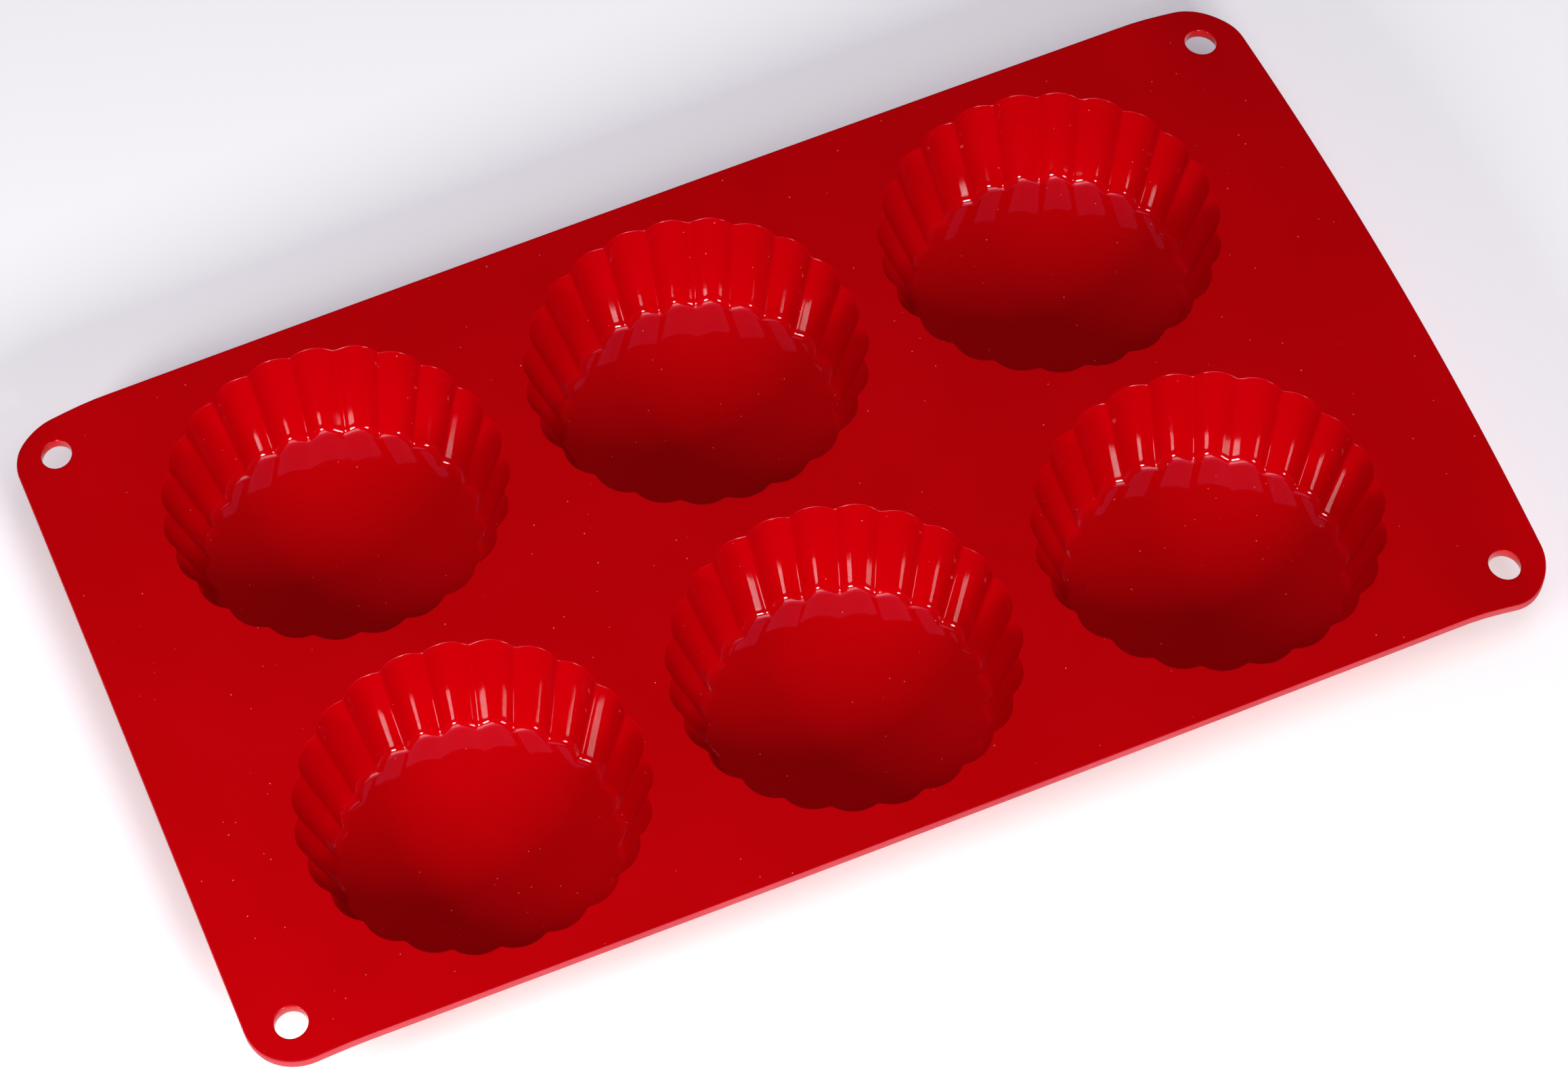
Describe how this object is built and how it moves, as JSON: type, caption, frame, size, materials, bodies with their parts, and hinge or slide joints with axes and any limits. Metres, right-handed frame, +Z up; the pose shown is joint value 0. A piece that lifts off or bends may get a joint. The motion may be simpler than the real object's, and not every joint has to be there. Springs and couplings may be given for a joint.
{
  "type": "fluted silicone bun mould",
  "caption": "Flexible silicone baking mould: a flat deck with rounded corners and hang holes, and two rows of three fluted, tapered cups with flat floors.",
  "frame": {"origin": "on the surface the mould stands on, below the centre of the deck", "axes": "+X along the length of the deck, +Y from the front row of cups to the back row, +Z up out of the cups' mouths"},
  "size_m": [0.3, 0.175, 0.025],
  "materials": {
    "red_silicone": "satin"
  },
  "bodies": {
    "middle_column": {"deck_middle": "red_silicone", "flex_web_left": "red_silicone", "flex_web_right": "red_silicone", "cup_front_middle_wall": "red_silicone", "cup_back_middle_wall": "red_silicone"},
    "left_column": {"deck_left": "red_silicone", "cup_front_left_wall": "red_silicone", "cup_back_left_wall": "red_silicone"},
    "right_column": {"deck_right": "red_silicone", "cup_front_right_wall": "red_silicone", "cup_back_right_wall": "red_silicone"},
    "front_left_floor": {"cup_front_left_floor": "red_silicone"},
    "front_middle_floor": {"cup_front_middle_floor": "red_silicone"},
    "front_right_floor": {"cup_front_right_floor": "red_silicone"},
    "back_left_floor": {"cup_back_left_floor": "red_silicone"},
    "back_middle_floor": {"cup_back_middle_floor": "red_silicone"},
    "back_right_floor": {"cup_back_right_floor": "red_silicone"}
  },
  "joints": [
    {"name": "left_fold", "type": "hinge", "parent": "middle_column", "child": "left_column", "pos_m": [-0.0429, 0, 0.02375], "axis": [0, 1, 0], "range_deg": [0, 75], "stiffness_Nm_per_rad": 0.06, "deforming": ["flex_web_left"]},
    {"name": "right_fold", "type": "hinge", "parent": "middle_column", "child": "right_column", "pos_m": [0.0429, 0, 0.02375], "axis": [0, -1, 0], "range_deg": [0, 75], "stiffness_Nm_per_rad": 0.06, "deforming": ["flex_web_right"]},
    {"name": "front_left_push_out", "type": "slide", "parent": "left_column", "child": "front_left_floor", "axis": [0, 0, 1], "range_m": [0, 0.015], "stiffness_N_per_m": 500, "deforming": ["cup_front_left_wall"]},
    {"name": "front_middle_push_out", "type": "slide", "parent": "middle_column", "child": "front_middle_floor", "axis": [0, 0, 1], "range_m": [0, 0.015], "stiffness_N_per_m": 500, "deforming": ["cup_front_middle_wall"]},
    {"name": "front_right_push_out", "type": "slide", "parent": "right_column", "child": "front_right_floor", "axis": [0, 0, 1], "range_m": [0, 0.015], "stiffness_N_per_m": 500, "deforming": ["cup_front_right_wall"]},
    {"name": "back_left_push_out", "type": "slide", "parent": "left_column", "child": "back_left_floor", "axis": [0, 0, 1], "range_m": [0, 0.015], "stiffness_N_per_m": 500, "deforming": ["cup_back_left_wall"]},
    {"name": "back_middle_push_out", "type": "slide", "parent": "middle_column", "child": "back_middle_floor", "axis": [0, 0, 1], "range_m": [0, 0.015], "stiffness_N_per_m": 500, "deforming": ["cup_back_middle_wall"]},
    {"name": "back_right_push_out", "type": "slide", "parent": "right_column", "child": "back_right_floor", "axis": [0, 0, 1], "range_m": [0, 0.015], "stiffness_N_per_m": 500, "deforming": ["cup_back_right_wall"]}
  ]
}
